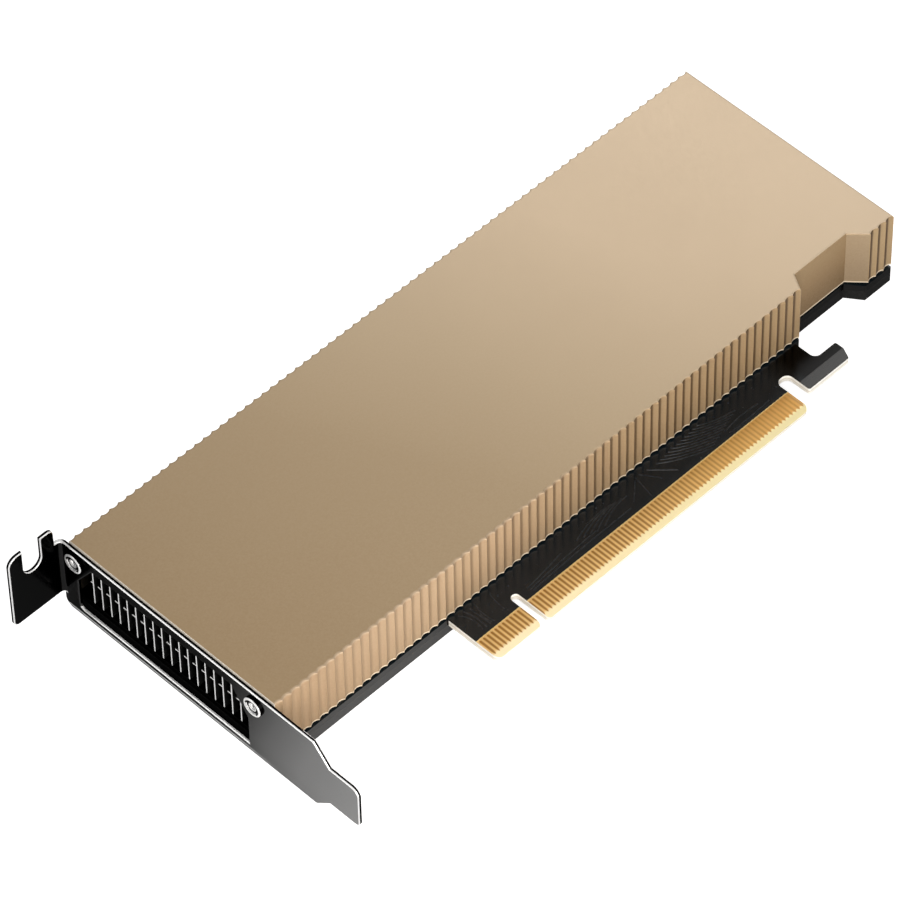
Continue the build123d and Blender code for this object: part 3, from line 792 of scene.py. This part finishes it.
# painted reflection on the bracket's face, with a painted highlight along its foot
def bracketFaceReflection(finish, places, ax, fine, footZ):
    look = bracketLook
    x, y, z = places
    face = both(finish, above(finish, ax, look["faceFacing"]), above(finish, x, look["faceX"]))
    lean = both(finish, either(finish, minus(finish, z, look["leanFromZ"]), 0.0), look["faceLean"])
    along = plus(finish, y, plus(finish, lean, look["faceShift"]))
    tone = blendTones(finish, face, look["edgeTone"], tonesAlong(finish, along, look["faceReflectionTones"]))
    specks = both(finish, ramp(finish, fine, *look["fineShare"]), face)
    tone = blendTones(finish, specks, tone, look["fineTone"])
    # painted highlight along the face's foot
    lineLow, lineHigh = look["footHighlight"]
    footHighlight = both(finish, face, between(finish, z, footZ + lineLow, footZ + lineHigh),
                    ramp(finish, y, *look["footHighlightShare"]))
    return blendTones(finish, footHighlight, tone, look["footHighlightTone"])


def bracketFinish():
    look = bracketLook
    finish = newFinish("blackChrome", look["edgeTone"], 1.0, look["roughness"])
    tintOf(finish, look["tint"])
    where, x, y, z = cardPlaces(finish)
    nx, ny, nz = faceDirection(finish)
    ax, ay, az = (size(finish, part) for part in (nx, ny, nz))
    fine = grain(finish, where, *look["fineGrain"])
    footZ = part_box("bracket")[0].z / mm
    tone = bracketFaceReflection(finish, (x, y, z), ax, fine, footZ)
    ear = below(finish, x, look["earX"])
    offEar = opposite(finish, ear)
    earFace = both(finish, ear, above(finish, ay, look["earFacing"]))
    tone = blendTones(finish, earFace, tone, look["earTone"])
    # painted reflection on the bend
    bend = both(finish, above(finish, x, look["bendX"]), above(finish, y, look["bendY"]),
                below(finish, az, look["bendFacing"]))
    tone = blendTones(finish, bend, tone, look["bendReflectionTone"])
    # painted highlights on the bevels and the lit strips of the top edges, painted shade inside the window,
    # on the foot and at the rear
    across = plus(finish, both(finish, ear, ay), both(finish, offEar, ax))
    bevel = both(finish, between(finish, across, *look["bevelFacing"]), opposite(finish, bend))
    faceUp = above(finish, nz, look["upFacing"])
    faceDown = below(finish, nz, -look["upFacing"])
    topEdge = both(finish, offEar, faceUp, below(finish, ax, look["bevelFacing"][0]))
    atWindow = both(finish, topEdge, below(finish, z, 0.0), above(finish, y, look["windowFromY"]))
    inOpening = both(finish, between(finish, z, *look["openingZ"]), between(finish, y, *look["openingY"]),
                     above(finish, x, look["earX"]))
    bevelPaintedLight = blendTones(finish, inOpening, look["bevelPaintedLight"], look["windowBevelShade"])
    atRear = both(finish, above(finish, x, look["rearStripX"]), below(finish, y, look["rearStripY"]))
    strips = either(finish, below(finish, x, look["frontStripX"]), atRear,
                    both(finish, atWindow, below(finish, x, look["windowStripX"])))
    bevel = either(finish, bevel, both(finish, topEdge, strips))
    rear = both(finish, offEar, above(finish, x, look["rearX"]))
    bevelPaintedLight = blendTones(finish, rear, bevelPaintedLight, look["edgeTone"])
    bevelPaintedLight = blendTones(finish, both(finish, rear, atRear), bevelPaintedLight, look["rearBevelHighlight"])
    foot = both(finish, offEar, below(finish, z, footZ + look["footHeight"]), faceDown)
    bevelPaintedLight = blendTones(finish, foot, bevelPaintedLight, look["footBevelShade"])
    rearLower = both(finish, rear, below(finish, nz, look["upFacing"]))
    bevelPaintedLight = blendTones(finish, rearLower, bevelPaintedLight, look["edgeTone"])
    colourWith(finish, blendTones(finish, bevel, tone, bevelPaintedLight))
    metalWith(finish, both(finish, bevel, faceUp), 1.0, look["bevelMetal"])
    roughWith(finish, fine, look["roughShare"])
    relief(finish, fine, *look["relief"])
    return finish


dress(bracketFinish(), "bracket")
print("bracket finished")

# bracket screws: painted highlights, bright rings round a dark key, by the distance from the head's middle
screwLook = {
    "firstY": 18.3,
    "span": 48.1,
    "middleY": 42.0,    # between the two screws
    "z": 10.9,
    # painted highlights and shade: bright and dark rings
    "rings": ((0.0, grey(0.01)), (0.42, grey(0.01)), (0.52, grey(0.97)), (0.92, grey(0.97)),
              (1.02, grey(0.01)), (1.74, grey(0.01)), (1.82, grey(0.97)), (2.9, grey(0.97))),
    # painted highlight: a bright crescent on the heads' lit side
    "crescentFrom": 1.42,
    "crescentLean": (0.46, -0.89, 0.5),    # parts of y and z, and how far towards them it starts
    "crescentHighlight": grey(0.97),
    # painted shade on the heads' sides
    "sideFacing": 0.4,
    "sideFrom": 2.0,
    "sideShade": grey(0.01),
    "fineGrain": (2.5,),
    "fineShare": (0.4, 0.8, 0.0, 0.04),
    "fineTone": grey(0.5),
    "colour": grey(0.9),
    "metallic": 0.4,
    "metalShare": (0.05, 0.8, 1.0, 0.4),    # dark parts are metal, bright ones less so
    "roughness": 0.16,
    "tint": 0.5,
    "relief": (0.05, 0.01),
}


def screwFinish():
    look = screwLook
    finish = newFinish("screwChrome", look["colour"], look["metallic"], look["roughness"])
    tintOf(finish, look["tint"])
    where, _, y, z = cardPlaces(finish)
    nx = faceDirection(finish)[0]
    middle = plus(finish, both(finish, above(finish, y, look["middleY"]), look["span"]), look["firstY"])
    aside = minus(finish, y, middle)
    up = minus(finish, z, look["z"])
    away = sums(finish, "SQRT", plus(finish, both(finish, aside, aside), both(finish, up, up)))
    fine = grain(finish, where, *look["fineGrain"])
    alongY, alongZ, start = look["crescentLean"]
    lean = plus(finish, both(finish, aside, alongY), both(finish, up, alongZ))
    crescent = both(finish, above(finish, away, look["crescentFrom"]), above(finish, lean, start))
    # painted highlights as rings and a crescent, and painted shade on the sides
    tone = blendTones(finish, crescent, tonesAlong(finish, away, look["rings"]), look["crescentHighlight"])
    side = both(finish, below(finish, size(finish, nx), look["sideFacing"]),
                above(finish, away, look["sideFrom"]))
    tone = blendTones(finish, side, tone, look["sideShade"])
    colourWith(finish, speckle(finish, tone, fine, look["fineShare"], look["fineTone"]))
    wire(finish, ramp(finish, tone, *look["metalShare"]), shaderOf(finish).inputs["Metallic"])
    relief(finish, fine, *look["relief"])
    return finish


dress(screwFinish(), "bracket_screws")
print("bracket screws finished")

# fins: bright folded fronts, and painted shade on the sides that deepens into the card
finLook = {
    "front": grey(0.95),
    "frontFacing": 0.7,
    # painted shade: the fins' sides are dark, darker deeper in
    "side": grey(0.03),
    "deepShade": grey(0.006),
    "depth": (-56.3, -48.0),
    "fineGrain": (1.8,),
    "fineShare": (0.4, 0.8, 0.0, 0.15),
    "fineTone": grey(0.2),
    "metallic": 0.85,
    "roughness": 0.3,
    "relief": (0.08, 0.01),
}


def finFinish():
    look = finLook
    finish = newFinish("finAluminium", look["front"], look["metallic"], look["roughness"])
    where, x = cardPlaces(finish)[:2]
    nx = faceDirection(finish)[0]
    fine = grain(finish, where, *look["fineGrain"])
    # painted shade on the sides
    side = blendTones(finish, ramp(finish, x, *look["depth"]), look["side"], look["deepShade"])
    tone = blendTones(finish, above(finish, size(finish, nx), look["frontFacing"]), side, look["front"])
    colourWith(finish, speckle(finish, tone, fine, look["fineShare"], look["fineTone"]))
    relief(finish, fine, *look["relief"])
    return finish


# backplate: dark grey sheet whose front edge takes the board's painted light and shade, with painted shade
# behind the window
plateLook = {
    "flat": grey(0.055),
    # painted light and shade on the front edge, as on the board's
    "front": boardLook["rim"],
    "frontFacing": 0.3,
    "frontToY": 30.0,
    # painted shade: near black behind the window
    "windowX": -50.0,
    "windowY": 15.0,
    "windowFacing": -0.5,
    "windowShadeTone": grey(0.003),
    "fineGrain": (4.2,),
    "fineShare": (0.4, 0.75, 0.0, 0.10),
    "fineTone": grey(0.25),
    "metallic": 0.1,
    "roughness": 0.6,
    "roughShare": (0.2, 0.8, 0.54, 0.66),
    "specular": 0.2,
    "tint": 0.5,
    "relief": (0.12, 0.01),
}


def plateFinish():
    look = plateLook
    finish = newFinish("plateGrey", look["flat"], look["metallic"], look["roughness"], look["specular"])
    tintOf(finish, look["tint"])
    where, x, y = cardPlaces(finish)[:3]
    nz = faceDirection(finish)[2]
    fine = grain(finish, where, *look["fineGrain"])
    # painted light and shade on the front edge, and painted shade behind the window
    front = both(finish, below(finish, size(finish, nz), look["frontFacing"]),
                 below(finish, y, look["frontToY"]))
    tone = blendTones(finish, front, look["flat"], tonesAlong(finish, x, look["front"]))
    inWindow = both(finish, below(finish, x, look["windowX"]), above(finish, nz, look["windowFacing"]),
                    above(finish, y, look["windowY"]))
    tone = blendTones(finish, inWindow, tone, look["windowShadeTone"])
    colourWith(finish, speckle(finish, tone, fine, look["fineShare"], look["fineTone"]))
    metalWith(finish, either(finish, inWindow, front), look["metallic"], 1.0)
    roughWith(finish, fine, look["roughShare"])
    relief(finish, fine, *look["relief"])
    return finish


# base plate: nickel with painted shade that goes dark behind the window
baseLook = {
    "colour": grey(0.3),
    # painted shade behind the window
    "dark": grey(0.003),
    "depth": (-52.0, 0.0),
    "fineGrain": (1.2,),
    "fineShare": (0.4, 0.8, 0.0, 0.1),
    "fineTone": grey(0.02),
    "roughness": 0.4,
    "tint": 0.5,
    "relief": (0.08, 0.01),
}


def baseFinish():
    look = baseLook
    finish = newFinish("baseNickel", look["colour"], 1.0, look["roughness"])
    tintOf(finish, look["tint"])
    where, x = cardPlaces(finish)[:2]
    fine = grain(finish, where, *look["fineGrain"])
    # painted shade: darker towards the bracket
    tone = blendTones(finish, ramp(finish, x, *look["depth"]), look["dark"], look["colour"])
    colourWith(finish, speckle(finish, tone, fine, look["fineShare"], look["fineTone"]))
    relief(finish, fine, *look["relief"])
    return finish


dress(finFinish(), "fin_stack")
dress(baseFinish(), "base_plate")
dress(plateFinish(), "backplate")
print("fins and backplate finished")

# other metals, plastics and small parts: nodes, colour, metallic, roughness, grain scale and variation
partLooks = {
    "rearScrewSteel": (("cover_screws", "base_screws", "clamp_screws"),
                       (0.30, 0.30, 0.31), 1.0, 0.3, 2.5, 0.1),
    "filmBlack": (("insulating_film",), (0.012, 0.012, 0.012), 0.0, 0.35, 1.5, 0.1),
    "springSteel": (("clamp_plate", "processor_stiffener", "clock_crystal"),
                    (0.56, 0.56, 0.57), 1.0, 0.28, 1.5, 0.1),
    "substrateGreen": (("processor_substrate",), (0.03, 0.09, 0.04), 0.0, 0.4, 1.5, 0.2),
    "siliconDie": (("processor_die",), (0.2, 0.21, 0.24), 0.3, 0.12, 0.9, 0.05),
    "pasteGrey": (("processor_paste", "memory_pads", "inductor_pads", "power_stage_pads"),
                  (0.42, 0.44, 0.47), 0.0, 0.8, 0.9, 0.3),
    "mouldedBlack": (("memory_chips", "power_stages", "power_controllers", "flash_chip", "bulk_capacitors"),
                     (0.022, 0.022, 0.024), 0.0, 0.5, 3.5, 0.3),
    "ferriteGrey": (("inductors",), (0.075, 0.075, 0.08), 0.0, 0.6, 2.5, 0.4),
    "ceramicTan": (("ceramic_capacitors", "decoupling_capacitors"),
                   (0.45, 0.32, 0.19), 0.0, 0.45, 2.5, 0.2),
}
plainLook = {
    "lighter": 2.0,    # the light tone's gain for each part of variation
    "lift": 0.02,    # what it also adds, so that near-black parts vary too
    "fineShare": (0.3, 0.7),
    "roughFrom": (0.2, 0.8),
    "roughSpread": (-0.04, 0.06),
    "relief": (0.08, 0.01),
}


def plainFinish(name, colour, metallic, roughness, scale, variation):
    look = plainLook
    finish = newFinish(name, colour, metallic, roughness)
    fine = grain(finish, cardPlaces(finish)[0], scale)
    gain = 1 + look["lighter"] * variation
    light = tuple(min(1.0, part * gain + look["lift"] * variation) for part in colour)
    dark = tuple(part * (1 - variation) for part in colour)
    colourWith(finish, speckle(finish, dark, fine, look["fineShare"], light))
    roughWith(finish, fine, (*look["roughFrom"], *(roughness + more for more in look["roughSpread"])))
    relief(finish, fine, *look["relief"])
    return finish


for finishName, (nodeNames, colour, metallic, roughness, scale, variation) in partLooks.items():
    dress(plainFinish(finishName, colour, metallic, roughness, scale, variation), *nodeNames)
print("small parts finished")
